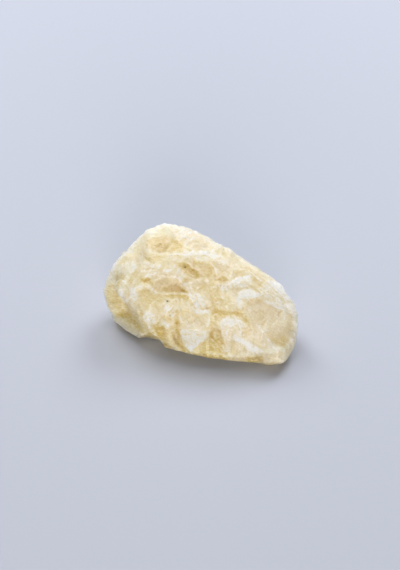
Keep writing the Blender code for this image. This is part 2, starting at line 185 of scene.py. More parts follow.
# ---- markings, in the picture's pixels, as the camera above sees them
# Corners and points are written as across, down, across, down and so on. A later mark lies on the
# earlier ones. Each area is (how strong, how soft its edge is in pixels, corners).
AMBER_AREAS = {
    # upper left
    "summit left": (0.0, 2.5, 148,231, 158,229, 160,236, 150,238),
    "summit heart": (0.0, 2, 161,229, 170,230, 171,237, 162,237),
    "summit right": (0.45, 3, 184,238, 198,237, 206,243, 203,250, 188,250),
    "saddle": (0.66, 2.5, 147,240, 158,235, 172,237, 181,241, 184,248, 183,252, 172,252.5, 160,254,
        151,250, 146,245),
    "saddle heart": (0.92, 3, 156,243, 163,240.5, 169,243, 168,249, 160,251, 155,248),
    "saddle right": (0.85, 2, 172,240.5, 178,241, 182,246, 180,251, 173,248),
    "saddle left": (0.7, 2, 143,251, 150,255, 158,255, 162,261, 153,262, 144,259),
    "shoulder left": (0.15, 2, 133,244, 141,240, 146,244, 145,250, 135,250),
    "left slope": (0.48, 2.5, 118,262, 127,258, 127,265, 120,267),
    "left end": (0.8, 1.5, 116,275, 124,275, 125.5,281, 123,287, 117,286),
    "middle slope": (0.46, 2, 131,273, 140,270, 146,275, 139,279, 131,278),
    "small window": (0.95, 1.2, 140,279.5, 147,276.5, 151,279, 149.5,283, 144,283, 141,281),
    "above shell": (0.32, 2, 155,283, 165,279, 176,280, 181,285, 165,286, 158,290),
    "shell": (0.68, 1.3, 162,290, 167,284.5, 175,284, 181,287, 187,290, 188,293, 170,292.5,
        164,292),
    "shell end": (1.0, 1, 179,289, 187,290, 188,293, 180,291.5),
    "shell floor": (0.84, 1.2, 163,294.7, 176,294.3, 187,294.5, 185,298, 178,299, 168,298),
    "below shell": (0.46, 2.5, 152,293, 160,294, 164,299, 160,303, 151,302),
    # middle
    "window": (0.74, 1.3, 177,266, 181,263, 187,263, 191,267, 196,268, 200,272, 202,276, 197,278.5,
        191,277, 187,273, 183,269),
    "window heart": (0.95, 1.3, 191,269, 196,269, 201,275, 197,277.5, 193,274),
    "big facet": (0.32, 1.6, 188,261, 196,260.5, 204,260, 212,264.5, 215,269, 214,277, 205,277,
        197,269.5, 190,266),
    "big facet low": (0.66, 2, 199,268, 212,267, 214,276, 205,278),
    "right window": (0.7, 1.5, 213,283, 219,277.5, 224,276, 229,280, 224,283.5, 217,285),
    "right window heart": (0.75, 1.3, 220,279, 224,276.5, 228,280, 223,282),
    "middle": (0.56, 2.5, 190,280, 207,279, 214,284, 214,291, 205,290, 197,286),
    "middle low": (0.45, 2, 206,287, 215,286, 222,292, 224,300, 221,309, 213,311, 209,303, 206,295),
    "middle brown": (0.62, 1.5, 181,297, 188,296, 190,300, 184,301),
    "strip above plate": (0.5, 1.2, 192,305.5, 209,305.5, 209,309.5, 194,309.5),
    # left end and recess; the deeper honey on the left face and in the recess is partly painted
    # shade
    "left face": (0.9, 2.2, 105,285, 117,284, 119,292, 119,298, 124,303, 119,311, 110,311, 104,298),
    "beside knob": (0.65, 1.5, 128,279, 133,279, 133,286, 129,287),
    "knob": (0.38, 1.5, 121,287, 127,286, 130,291, 129,298, 123,298),
    "left shelf": (0.6, 1.8, 121,303, 128,302, 131,304, 137,311, 140,317, 134,316, 128,311),
    "left shelf right": (0.35, 2, 131,303, 139,305, 143,312, 142,319, 137,313),
    "recess": (0.72, 1.8, 118,311, 124,308, 130,312, 138,317, 143,321, 147,327, 153,333, 158,338,
        148,337, 140,331, 131,325, 123,319),
    "gritty rim": (0.66, 2, 112,316, 120,320, 130,325, 139,330, 143,338, 133,338, 124,332, 116,327),
    "speckled left": (0.54, 3, 138,290, 150,289, 160,292, 160,301, 150,306, 141,303),
    "rim inner": (0.56, 2, 147,323, 157,325, 158,333, 152,334),
    # front; the deep honey along the lower edge is partly painted shade
    "front left": (0.98, 1.5, 157,327, 162,326.5, 167,328.5, 170,336, 171,343, 165,342, 158,338,
        151,333),
    "speckled low": (0.38, 2, 150,301, 160,302, 163,310, 160,318, 153,314),
    "olive": (0.62, 1.5, 161,315, 168,316, 173,321, 166,323),
    "strip": (0.4, 1.8, 176,311, 180,312, 180,328, 176,330, 174,322),
    "front low": (1.05, 2, 163,341, 170,338, 178,342, 182,352, 172,352, 163,346),
    "wedge body": (0.8, 1.5, 166,329, 172,328, 177,338, 181,350, 172,349, 167,340),
    "plate": (0.25, 1.5, 181,313, 191,315.5, 208,315.5, 208,326, 200,328.5, 181,328),
    "plate foot": (0.74, 1.8, 191,344, 200,341, 209,341, 212,347, 210,352.5, 195,353.5),
    "bottom band": (1.15, 1.5, 184,352, 200,353, 222,355, 226,361, 205,359.5, 186,356.5),
    "groove right of plate": (0.86, 1.3, 209,334, 214,330.5, 221,329.5, 224,340, 229,352, 226,355,
        212,353, 208,345),
    "groove heart": (0.5, 1.5, 213,331, 219,331, 220,338, 215,339),
    "valley root": (0.32, 2, 209,312, 214,310, 218,318, 221,328, 215,328, 211,321),
    "valley": (0.74, 1.5, 210,309, 222,310, 240,312.5, 248,319, 258,330, 254,331, 244,322.5,
        238,317, 222,315.5, 212,314),
    # front right
    "front right cream": (0.4, 2.5, 240,319, 249,324, 252,330, 243,329, 238,325),
    "front right inner": (0.62, 1.5, 241,331, 248,329, 252,334, 247,338.5, 241,337),
    "front right low": (0.62, 1.5, 225,341, 236,342, 238,346, 228,347),
    "front right foot": (0.68, 1.5, 230,347, 238,347, 239,355, 231,354),
    "smooth facet": (0.38, 3, 246,308, 262,304, 277,305, 285,312, 282,324, 267,328, 258,330,
        248,320),
    "smooth facet amber": (0.55, 2, 254,309, 262,306, 271,307, 266,313, 266,320, 258,317),
    "facet low": (0.62, 0.9, 266,333, 271,328.5, 278,326.5, 286,326.5, 290,334, 288,342, 281,348,
        277,346, 271,338),
    "facet low heart": (0.68, 1.5, 277,337, 285,335, 288,341, 283,347, 278,343),
    "right side": (0.6, 1.5, 287,314, 292,314, 293,330, 289,333, 286,325),
    "right low": (0.5, 2, 288,334, 295,334, 294,350, 288,348),
    "lobe": (0.62, 2, 262,355, 275,352, 290,350, 288,358, 277,367, 266,365),
    # painted shade, partly: the deepest honey under the lower edge
    "under strip": (1.15, 1.4, 222,357, 235,357.5, 250,357, 262,356, 264,362, 250,363.5, 235,363.5,
        224,362),
    # upper right
    "behind ridge": (0.46, 1.5, 222,253, 232,254, 236,258, 227,259, 221,256),
    "back slope": (0.42, 2.5, 229,263, 240,262, 246,270, 246,276, 234,276, 228,270),
    "band root": (0.95, 1.3, 246,267, 250,267, 253,271, 249,273, 245,272),
    "band inner": (0.68, 1.3, 249,274, 253,275, 259,281, 258,284, 252,281),
    "band olive": (0.62, 1.5, 257,282, 262,281, 269,288, 266,291, 259,287),
    "facet top": (0.6, 1.3, 244,301, 252,300.5, 260,300.5, 261,304, 252,307, 246,305),
    "between arcs": (0.2, 1, 230,286.5, 240,286, 250,286, 250,289, 238,289.5, 230,290),
    # over the others
    # painted shade, partly: deeper honey in the recess
    "recess left": (0.85, 2, 111,305, 120,305, 126,311, 124,318, 116,316, 111,311),
    "above arc": (0.5, 1.5, 220,269, 232,271, 246,269, 258,269, 266,275, 273,280, 262,278,
        250,273.5, 232,275, 221,274),
    "left shelf end": (0.8, 1.5, 134,309, 141,309, 144,316, 138,317),
    "strip top": (0.75, 1.5, 171,309, 179,310, 179,317, 172,317),
    "valley corner": (0.7, 1.3, 214,315, 225,316, 224,321, 216,322),
}
# Each line is (how strong, its half width in pixels, points).
AMBER_LINES = {
    "shell edge": (0.4, 1, 175,280, 181,284, 187,290),
    "small window tail": (0.6, 1, 149,282, 153,286, 157,290),
    "saddle curl": (1.3, 0.6, 155,257, 156,255, 159,256, 160,259),
    "front groove": (1.0, 2.4, 177.5,324, 177.5,331, 178,340, 183,348, 189,354),
    "front groove left": (1.25, 1.2, 174,336, 176,342, 182,350),
    "band a": (0.9, 0.8, 251,271, 259,277, 266,282),
    "band b": (0.3, 0.9, 254,283, 262,290, 270,296),
    "band c": (0.35, 0.7, 266,284, 274,292, 283,300, 289,305),
    "band d": (0.4, 0.8, 275,297, 281,303, 286,308),
    "band e": (0.15, 0.6, 287,299, 292,304),
    "arc shade": (0.3, 0.5, 229,288, 235,285.5, 240,285),
    "under saddle": (0.55, 1.4, 150,254, 158,257, 170,255, 183,253.5),
}
FROST_AREAS = {
    # upper left
    "summit": (0.6, 2, 172,228, 180,228, 188,227, 196,232, 201,237, 192,241, 183,239, 175,236),
    "summit left": (0.35, 1.5, 156,227, 164,224, 172,224, 172,228, 160,230),
    "below saddle": (0.62, 1.5, 140,263, 150,261.5, 156,264, 163,264, 163,267, 150,267, 141,266),
    "below saddle right": (0.55, 2, 163,264, 176,262, 179,267, 172,270),
    "left upper": (0.58, 2.5, 128,257, 136,261, 138,270, 131,272, 127,265),
    "left low": (0.7, 1.5, 118,265, 126,264, 126,269, 118,268.5),
    "beside ledges": (0.65, 2, 176,268, 183,270, 187,276, 180,277, 175,273),
    "shell corner": (0.75, 1.5, 186,287, 192,286, 194,291, 189,293.5),
    "below ridge": (0.55, 1.5, 168,257, 182,257, 187,260, 180,262, 170,261),
    # knob and left rim
    "knob": (0.3, 2, 120,285, 127,284, 131,290, 130,299, 124,301, 119,296),
    "knob top": (0.65, 1.5, 122,281, 128,279, 129,284, 123,285),
    "knob right": (0.85, 1.5, 130,289, 136,288, 137,296, 134,303, 130,298),
    "shell brow": (0.9, 1.5, 137,286, 143,284.5, 151,286, 152,288, 140,290),
    "rim patch": (0.8, 1.5, 144,311, 150,311, 156,316, 156,324, 148,324, 143,317),
    "gritty rim": (0.15, 1.5, 116,321, 122,323, 134,330, 141,336, 134,336, 124,331),
    # middle
    "middle": (0.8, 1.5, 188,292, 193,291, 200,294, 205,299, 206,306, 196,306, 190,300),
    "front patch": (0.78, 1.5, 163,307, 169,305, 176,308, 176,315, 171,318, 165,313),
    "front patch left": (0.5, 1.5, 157,303, 165,303, 166,307, 158,307.5),
    "above plate": (0.4, 2, 178,300, 190,302, 192,308, 180,308),
    "wedge": (0.95, 1.2, 160,321, 164,320.5, 169,324, 168,327, 163,325),
    "plate foot": (0.95, 1, 179,328.5, 190,329.5, 205,330.5, 209,330, 207,334, 183,334),
    "plate toe": (1.0, 1, 182,335, 208,334, 204,340, 197,346, 190,351, 185,343),
    "front wedge": (0.8, 1.2, 185,340, 192,342, 192,351, 188,349),
    # front right
    "front right top": (0.95, 1.2, 220,321, 224,318, 234,318, 243,321, 247,326, 240,328, 230,327,
        222,330, 219,325),
    "bright spot": (1.2, 1.5, 226,321, 233,320, 233,325, 227,325),
    "front right middle": (0.55, 2, 222,327, 236,327, 239,337, 230,340, 222,337),
    "front right pink": (0.55, 1.5, 222,345, 230,346, 230,352, 223,353),
    "front right ridge": (1.0, 1.5, 235,336, 241,337, 250,342, 257,347, 263,351, 259,355, 250,352,
        243,346, 238,341),
    "front right foot": (0.45, 1.5, 239,349, 248,353, 260,356, 244,357),
    "smooth facet foot": (0.55, 2, 262,336, 268,338, 276,348, 268,351, 258,346),
    "smooth facet": (0.25, 3, 252,320, 264,320, 270,336, 262,345, 252,338),
    "lobe top": (0.05, 1.5, 262,352, 280,350, 284,353, 264,356),
    "right rim": (0.45, 1.2, 293.5,310, 298,312, 298,335, 295,334),
    # upper right
    "under ridge": (0.9, 1.5, 200,251, 213,250, 216,254, 222,257, 214,259, 205,256),
    "ridge root": (0.72, 1.5, 182,251.5, 190,250.5, 201,252, 198,256.5, 184,257),
    "pink slope": (0.5, 2.5, 216,257, 224,259, 229,268, 224,273, 218,267),
    "arc root": (0.8, 1.2, 222,284, 228,284, 231,290, 226,291, 221,288),
    "arc": (1.1, 1, 220,290, 223,286, 230,282, 236,278, 243,276, 251,275.5, 252,280, 247,283,
        244,288, 238,287, 231,288, 226,291),
    "arc below": (1.15, 1.2, 243,281, 251,280, 253,285, 246,286),
    "arc low": (1.35, 1.2, 236,300, 238,292, 243,289.5, 250,289, 257,292.5, 263,297.5, 258,299,
        246,298, 241,301),
    "arc foot": (0.85, 1.5, 236,300, 242,300, 242,309, 238,308),
    "between arcs": (0.42, 2, 228,291, 237,291, 236,297, 229,297),
    "right brow": (1.1, 1, 267,281, 272,280, 278,281.5, 283,286, 288,292, 290,300, 285,300, 279,293,
        273,288),
    "right tip": (0.72, 1.5, 281,309, 287,306, 296,305, 297,311, 288,312, 285,318, 281,315),
    "facet crest": (0.7, 1.5, 262,301, 270,300, 277,306, 270,306, 263,304),
    "right brow inner": (0.7, 1.5, 262,284, 268,284, 276,292, 282,300, 277,299, 268,291),
    # over the others
    "front right body": (0.6, 1.5, 221,328, 234,327, 243,329, 245,335, 240,338, 230,341, 223,338),
    "knob left": (0.75, 1.2, 119,289, 124,288, 125,296, 121,298.5),
    "facet brow": (0.95, 1.5, 262,292, 268,292, 276,297, 285,304, 284,309, 276,303, 266,299,
        258,297),
    "summit heart": (0.55, 2, 146,232, 158,230, 165,233, 164,238, 150,239),
    "shoulder": (0.35, 1.5, 135,244, 142,244, 143,256, 141,261, 136,261),
    "left end rim": (0.55, 1.2, 111,268, 116,266, 117,276, 116,284, 111,284),
    "middle light": (0.6, 1.2, 195,287, 202,287, 203,292, 196,292),
    "facet top": (0.6, 1.2, 188,257, 205,256.5, 210,259.5, 204,261.5, 190,261.5),
    "right plain": (0.3, 3, 250,300, 264,298, 280,302, 286,312, 284,324, 272,324, 262,316),
    "above arc": (0.08, 1.5, 240,266, 256,266, 266,274, 274,281, 262,280, 250,274, 240,273),
    "under saddle": (0.12, 1.5, 148,252, 158,254, 168,252.5, 166,258, 159,263, 149,264),
    "left slope": (0.55, 1.5, 118,263, 128,262, 135,268, 133,273, 119,273),
    "saddle top": (0.4, 2, 146,231, 160,231, 172,234, 174,239, 158,239, 146,241),
    "ridge end": (0.5, 1.5, 202,238, 210,241, 222,246, 222,250, 208,247),
}
# Where the stone is duller and less yellow than elsewhere.
HAZE_AREAS = {
    "right half": (0.35, 9, 232,240, 262,262, 305,290, 305,370, 262,370, 262,330, 246,316, 236,300,
        226,270),
    "summit": (0.5, 4, 170,224, 196,226, 210,240, 204,250, 186,246, 172,236),
    "pink slope": (0.45, 3, 214,256, 228,260, 232,270, 222,274, 216,268),
    "ledges": (0.6, 2, 150,271, 165,270, 176,274, 179,281, 165,281, 156,286, 150,278),
    "above shell": (0.4, 2, 155,283, 165,279, 178,281, 181,286, 165,286, 158,290),
    "middle": (0.45, 2.5, 186,280, 206,280, 208,286, 190,287),
    "strip above plate": (0.6, 1.5, 190,304, 210,304, 210,310, 192,310),
    "plate": (0.4, 2, 183,318, 207,318, 206,328, 184,328),
    "knob": (0.3, 2, 119,286, 128,284, 131,291, 129,300, 122,300),
    "gritty rim": (0.7, 2.5, 114,317, 124,322, 134,327, 143,334, 143,339, 130,337, 118,329),
    "wedge body": (0.4, 1.5, 164,326, 172,326, 178,336, 181,351, 172,350, 165,342),
    "smooth facet": (0.62, 3, 246,303, 262,300, 277,303, 285,312, 282,324, 267,328, 258,330,
        248,318),
    "smooth facet low": (0.8, 3, 250,322, 264,326, 276,346, 262,348, 250,338),
    "facet low": (0.9, 1.5, 266,330, 275,327, 283,326, 288,333, 278,340, 272,337),
    "right side": (0.85, 2.5, 286,306, 296,306, 297,335, 293,352, 287,345),
    "striated": (0.7, 3, 258,270, 272,279, 294,300, 292,308, 276,303, 264,290),
    "lobe": (0.75, 2.5, 262,354, 290,350, 288,360, 276,368, 262,364),
    "under strip": (0.6, 2, 228,356, 246,356, 246,362, 230,362),
    "front right": (0.55, 3, 218,318, 240,320, 250,332, 258,346, 250,354, 226,350, 220,336),
    "left face": (0.5, 3, 103,284, 117,284, 120,300, 122,312, 112,318, 104,300),
}
# Darker skin, partly grit and partly painted shade along the lower edge: strength, softness,
# corners.
DIRT_AND_SHADE_AREAS = {
    "gritty rim": (0.12, 3, 112,318, 120,322, 130,327, 139,331, 147,338, 133,340, 124,334, 114,327),
    "left foot": (0.0, 3, 104,300, 112,308, 118,318, 116,324, 106,314),
    "front low": (0.22, 2, 148,336, 158,339, 166,343, 176,349, 188,353, 184,356, 166,350, 150,340),
    "bottom band": (0.5, 2, 184,355, 205,357, 228,359.5, 262,361, 262,366, 226,364, 184,359),
    "under strip": (0.06, 1.5, 222,357, 250,357, 262,357, 262,363, 235,363.5),
    "lobe": (0.12, 2.5, 262,357, 288,355, 286,362, 276,368, 264,366),
    "right low": (0.05, 2.5, 288,332, 296,332, 296,352, 288,358),
    "left foot shade": (0.4, 1.5, 131,335.5, 140,334.5, 150,335.5, 160,340, 168,347, 150,344,
        133,341),
    "left face": (0.07, 2, 104,300, 120,302, 123,308, 112,312, 105,308),
    "lobe line": (0.16, 1.5, 254,353, 276,352.5, 277,357, 256,358.5),
}
FROST_LINES = {
    "top rim": (0.6, 1.3, 152,229, 163,225, 170,224, 180,228, 190,228, 200,235, 210,240, 222,246,
        232,251, 245,261, 256,270),
    "left rim": (0.72, 1.4, 108,279, 113,269, 120,259, 126,254, 131,250, 134,242, 142,236, 152,229),
    "ridge": (0.85, 1.2, 168,256, 178,254.5, 185,255, 195,254, 205,253, 213,253),
    "ridge branch": (0.6, 0.7, 183,253, 184,258, 186,261),
    "left spot": (0.95, 1.2, 131,251.5, 133,253),
    "left spot low": (0.8, 0.9, 133,265.5, 133.5,267.5),
    "ledge a": (0.72, 0.9, 141,271.5, 150,270.5, 157,267.5, 163,268, 168,271),
    "ledge b": (0.85, 0.7, 148,275, 157,273, 165,271, 173,270),
    "ledge c": (0.65, 0.6, 152,277.5, 160,276, 168,275.5),
    "ledge d": (0.7, 0.6, 154,280.5, 159,279, 163,279.5),
    "white spot": (1.1, 2.4, 178,278.5, 181,277.5, 180,281),
    "facet curve": (0.55, 0.6, 204,256, 210,261, 214,266, 217,271),
    "window brow": (0.3, 0.6, 189,264, 193,268, 198,270.5, 203,275),
    "window line": (0.45, 0.5, 185,269, 189,273, 193,277),
    "knob rim": (0.9, 0.9, 124,281.5, 120.5,285, 120.2,291, 120.8,296, 123.5,300, 127,301.5,
        129.5,299),
    "knob pit": (0.5, 0.7, 119.5,284, 122,285.5),
    "shell arc": (0.85, 0.8, 131,292, 136,287, 143,285, 148,286, 152,288.5, 157,291.5),
    "shell line": (0.25, 0.7, 157,291.5, 161,293, 170,293.3, 180,293, 187,292.7),
    "left ledge rim": (0.5, 1.5, 131,300, 134,305, 138,311, 144,315, 147,321, 151,327),
    "left face line": (0.45, 0.6, 110,286, 114,290, 118,287),
    "rim crest": (0.85, 0.9, 145,313, 148,317, 148.5,321),
    "wedge edge": (0.3, 0.6, 169,329, 171.5,335, 174,342),
    "plate top": (1.1, 1.3, 191,310.5, 194,312.5, 200,312.5, 209,311),
    "plate side": (0.75, 0.9, 209.5,313, 209.5,320, 207,326),
    "plate corner": (0.8, 0.7, 179,328, 181,333, 185,340, 190,350),
    "front right edge": (0.75, 1.2, 258,352, 268,353, 278,351),
    "smooth facet edge": (0.85, 0.7, 259,327, 263,332, 268,339, 274,347, 278,351),
    "smooth facet spark": (1.3, 0.8, 271,342, 274,348),
    "streak a": (0.5, 0.5, 244,309, 247,314, 250,320),
    "streak b": (0.45, 0.5, 247,308, 250,313, 253,319),
    "facet right": (1.3, 1.3, 265,301, 270,303, 276,306, 283,308),
    "right crest": (0.7, 0.8, 283,303, 287,306, 292,308),
    "right tip low": (0.85, 1, 284,312, 285,319),
    "band a": (0.72, 0.6, 249,271, 255,276, 261,281),
    "band b": (0.35, 0.5, 254,273, 262,279),
    "band c": (0.95, 0.6, 262,288, 269,293, 275,297),
    "band d": (0.65, 0.6, 268,289, 277,297, 286,304),
    "band e": (0.6, 0.6, 276,292, 284,299, 291,305),
    "left foot rim": (0.45, 0.9, 120,326, 128,331, 136,335),
    "front foot rim": (0.15, 0.9, 163,344, 171,349, 178,350),
    "groove streak a": (0.5, 0.5, 208,335, 215,343, 223,352),
    "groove streak b": (0.28, 0.5, 210,342, 214,347, 218,352),
    "groove streak c": (0.4, 0.4, 212,334, 218,341),
    "middle streak a": (0.45, 0.5, 215,291, 222,298),
    "middle streak b": (0.6, 0.5, 212,294, 216,299),
    "valley lip": (0.22, 0.7, 217,316.5, 226,316.5, 238,318),
    "facet low top": (0.45, 0.5, 265.5,331.5, 271,327.5, 278,325.5, 286,325.5),
}
# Each ledge is (height in mm, how far it fades on both sides in pixels, points): the side above a
# line drawn left to right is the high one.
LEDGES = {
    "ridge lip": (0.48, 11.2, 166,256, 178,254.5, 184,257, 190,256, 196,254.5, 205,255, 212,258),
    "window brow": (0.48, 8, 176,263, 183,261.5, 189,264, 192,268, 198,271, 204,275),
    "ledge a": (0.3, 4.8, 141,268.5, 150,268, 158,267, 163,267, 168,270.5),
    "ledge b": (0.27, 4, 147,272.5, 155,271.5, 163,271, 168,272.5),
    "ledge c": (0.3, 4.8, 150,276.5, 158,275, 165,274, 172,273),
    "shell brow": (0.36, 4.8, 152,281, 158,279, 165,277.5, 172,277, 178,279, 182,284, 186,288),
    "saddle lip": (0.3, 8, 184,252.5, 175,251.5, 165,252.5, 158,255, 152,259),
    "shell lip": (0.36, 6.4, 188,293.3, 175,293.4, 163,293.6, 157,292.5, 152,289, 148,286, 143,285,
        136,287, 131,292),
    "plate left": (0.48, 7.2, 181,311, 179,331, 183,342, 190,353),
    "plate right": (0.36, 6.4, 203,332, 208,327, 210.5,320, 210,313, 208,309),
    "plate top": (0.36, 4.8, 181,310, 190,308.5, 194,312.5, 200,314.5, 209,312.5),
    "plate foot": (0.12, 4.8, 180,329.5, 190,331.5, 201,330.5),
    "plate toe": (0.08, 4.8, 181,336, 190,339, 200,336),
    "recess roof": (0.6, 11.2, 128,301, 134,309, 140,318, 146,327, 155,337),
    "left face edge": (0.36, 6.4, 119,284, 118,292, 121,301, 128,306, 131,312),
    "front right top": (0.21, 6.4, 240,319.5, 234,317, 224,315.5, 216,317),
    "arc low": (0.2, 8, 235,304, 240,298, 248,296.5, 256,297, 262,300.5, 267,304),
    "arc": (0.2, 6.4, 224,287, 231,284, 236,281.5, 243,281, 250,281.5),
    "arc between": (0.24, 4.8, 228,291, 236,288, 245,287, 255,290),
    "smooth facet crest": (0.24, 8, 277,350, 272,343, 266,337, 260,330),
    "wedge": (0.48, 8, 159,321, 165,321, 170,324, 176,330),
    "foot left": (0.3, 6.4, 163,338, 169,345, 176,350),
    "cream steps": (0.3, 6.4, 187,284, 192,289, 195,296, 202,300, 208,305),
    "cream steps low": (0.24, 4.8, 186,291, 189,298, 197,305, 203,309),
    "window foot": (0.3, 6.4, 204,279, 197,279.5, 189,276.5, 183,271.5, 177,266),
    "left notch": (0.3, 6.4, 136,251, 144,255, 150,261, 155,264),
    "left brow": (0.36, 6.4, 125,269, 124,276, 122,283),
}
# Each crest or groove is (height in mm, half its width in pixels, points); a groove is below 0.
CRESTS = {
    "valley": (-0.45, 3, 212,309, 222,312, 229,312.5, 240,314, 246,320, 252,326, 257,331),
    "bottom ridge": (0.4, 2.5, 236,337, 242,341, 250,345.5, 258,350, 265,353, 278,351.5),
    "front groove": (-0.3, 2.5, 175,322, 177,330, 177,338, 182,347, 188,353),
    "groove streak a": (0.25, 0.8, 209,334, 215,342, 222,351),
    "groove streak b": (0.25, 0.8, 208,340, 213,346, 218,353),
    "shell line": (0.3, 1, 157,292.5, 163,293.5, 175,293.3, 186,293.2),
    "facet line": (0.25, 1, 204,257, 210,263, 216,270),
    "window line": (0.2, 0.8, 184,268, 193,276),
    "right tip": (0.4, 2, 280,309, 285,307, 295,306),
    "front wedge": (0.35, 2, 182,339, 187,346, 192,351),
}
# Each bulge of the outline is (across, down and reach in pixels, mm to the right, mm nearer).
SWELLS = {
    "lobe corner": (280, 354, 14, 1.2, 2.8),
    "right side": (292, 344, 9, 0.9, 0.0),
}
# Each pit is (height in mm, how soft its edge is in pixels, corners); a raised patch is above 0.
PITS = {
    "right window": (-0.35, 1, 213,281, 222,276, 229,280, 219,284),
    "small window": (-0.3, 1, 140,280, 148,277, 150,280, 147,283),
    "shell end": (-0.3, 1, 180,289, 187,290.5, 187.5,293, 181,292),
    "shell floor": (-0.2, 1.5, 163,294.5, 187,294.5, 184,297.5, 176,299, 168,298),
    "groove right of plate": (-0.15, 1.5, 209,330, 214,326, 219,330, 224,345, 223,353, 208,348),
}
STRIAE = (241,258, 256,267, 272,279, 286,292, 294,305, 282,310, 268,298, 256,291, 246,280)
STRIAE_SLOPE = math.radians(40)  # their run, downwards from across
STRIAE_SPACING, STRIAE_SOFTNESS = 2.9, 2.0  # pixels
STRIAE_DEPTH = 0.35  # mm
SPECKS = {  # place and radius in pixels, how dark
    "front": (167.3, 301.2, 0.85, 1.0),
    "window": (185.2, 267.2, 0.75, 0.9),
    "saddle": (154.0, 263.0, 0.7, 0.45),
    "plate": (181.0, 310.0, 0.7, 0.4),
    "front low": (170.0, 315.5, 0.8, 0.35),
}


def step(values, start, span):
    """0 up to the start, 1 from a span beyond it, and straight between them."""
    return np.clip((values - start) / span, 0, 1)


def cleavage_normals(axis, turn):
    """Rows: a calcite crystal's three cleavage directions, from its axis and its turn about it."""
    axis = Vector(axis).normalized()
    side = axis.orthogonal().normalized()
    first = axis * math.cos(CLEAVAGE_LEAN) + side * math.sin(CLEAVAGE_LEAN)
    return np.array([Matrix.Rotation(turn + math.radians(third), 3, axis) @ first
                     for third in (0, 120, 240)])


def swollen(places):
    """The places with the outline's bulges pushed out, level, as the camera sees them."""
    spots = picture_place(places)
    moved = places.copy()
    for across, down, reach, to_right, nearer in SWELLS.values():
        share = np.clip(1 - ((spots - (across, down)) ** 2).sum(axis=1) / reach ** 2, 0, 1) ** 2
        moved += share[:, None] * (to_right * RIGHT - nearer * AWAY)
    return moved


def waves(places, spacing, shift=0.0):
    """Smooth noise between about -1 and 1, one wave to a spacing."""
    return np.array([noise.noise(Vector(place)) for place in places / spacing + shift])


def wander(places, spacing, *shifts):
    """Smooth noise in as many columns as there are shifts."""
    return np.stack([waves(places, spacing, shift) for shift in shifts], axis=1)


def fractal(places, spacing, octaves, shift=0.0):
    """Noise with finer and fainter waves on coarser ones."""
    return np.array([noise.fractal(Vector(place), *FRACTAL, octaves)
                     for place in places / spacing + shift])


def blend(recipe, noises, least=0):
    """The sum of a recipe's share of each noise, between the least and 1."""
    return np.clip(sum(share * noises[name] for name, share in recipe.items()), least, 1)


class Skin:
    """Points, normals and neighbours of a mesh, in mm."""

    def __init__(self, mesh):
        self.mesh = mesh
        self.places = self.read(mesh.vertices, "co", 3, np.float32).astype(float) / MM
        self.edges = self.read(mesh.edges, "vertices", 2, np.int32)
        count = np.bincount(self.edges.ravel(), minlength=len(self.places))
        self.count = np.maximum(count, 1)[:, None]
        self.refresh()

    @staticmethod
    def read(items, attribute, width, kind):
        values = np.empty(len(items) * width, kind)
        items.foreach_get(attribute, values)
        return values.reshape(-1, width)

    def refresh(self):
        """Write the points to the mesh and read its normals again."""
        self.mesh.vertices.foreach_set("co", (self.places * MM).astype(np.float32).ravel())
        self.mesh.update()
        self.normals = self.read(self.mesh.vertex_normals, "vector", 3, np.float32).astype(float)

    def around(self, values):
        """Mean of each point's neighbours."""
        total = np.zeros_like(values)
        one, other = self.edges.T
        for k in range(values.shape[1]):
            total[:, k] = (np.bincount(one, values[other, k], len(values))
                           + np.bincount(other, values[one, k], len(values)))
        return total / self.count

    def blurred(self, values, passes):
        values = values.reshape(len(self.places), -1)
        for _ in range(passes):
            values = (values + self.around(values)) / 2
        return values

    def stand(self, passes):
        """How many mm each point stands out from the smoothed form."""
        return ((self.places - self.blurred(self.places, passes)) * self.normals).sum(axis=1)

    def attribute(self, name, values):
        layer = self.mesh.attributes.new(name, "FLOAT", "POINT")
        layer.data.foreach_set("value", values.astype(np.float32).ravel())


def picture_place(places):
    """Where the camera sees each place, in pixels (across, down)."""
    seen = places - EYE
    depth = -(seen @ BACK)
    return np.stack((PICTURE[0] / 2 + PIXELS_PER_SLOPE * (seen @ RIGHT) / depth,
                     PICTURE[1] / 2 - PIXELS_PER_SLOPE * (seen @ UP) / depth), axis=1)


def spot_distance(spots, spot):
    return np.sqrt(((spots - spot) ** 2).sum(axis=1))


def segment_distance(spots, start, end):
    start, run = np.array(start, float), np.array(end, float) - np.array(start, float)
    along = np.clip((spots - start) @ run / (run @ run), 0, 1)
    return spot_distance(spots - start, along[:, None] * run)


def pairs(numbers):
    """(across, down) of each point in a row of numbers."""
    return list(zip(numbers[::2], numbers[1::2]))


def line_share(spots, half_width, points, core=1.15, reach=2.0):
    """1 near the line, falling smoothly to 0 at reach times its half width."""
    away = np.min([segment_distance(spots, a, b) for a, b in zip(points, points[1:])], axis=0)
    share = np.clip(core * (1 - away / half_width / reach), 0, 1)
    return share * share * (3 - 2 * share)


def area_share(spots, softness, corners, width=1.5):
    """1 inside the area, 0 outside, with an edge of width times the softness."""
    away = np.full(len(spots), np.inf)
    inside = np.zeros(len(spots), bool)
    for a, b in zip(corners, corners[1:] + corners[:1]):
        away = np.minimum(away, segment_distance(spots, a, b))
        if a[1] != b[1]:
            crossing = (b[0] - a[0]) * (spots[:, 1] - a[1]) / (b[1] - a[1]) + a[0]
            inside ^= ((a[1] > spots[:, 1]) != (b[1] > spots[:, 1])) & (spots[:, 0] < crossing)
    signed = np.where(inside, away, -away)
    return np.clip(0.5 + signed / softness / width, 0, 1)


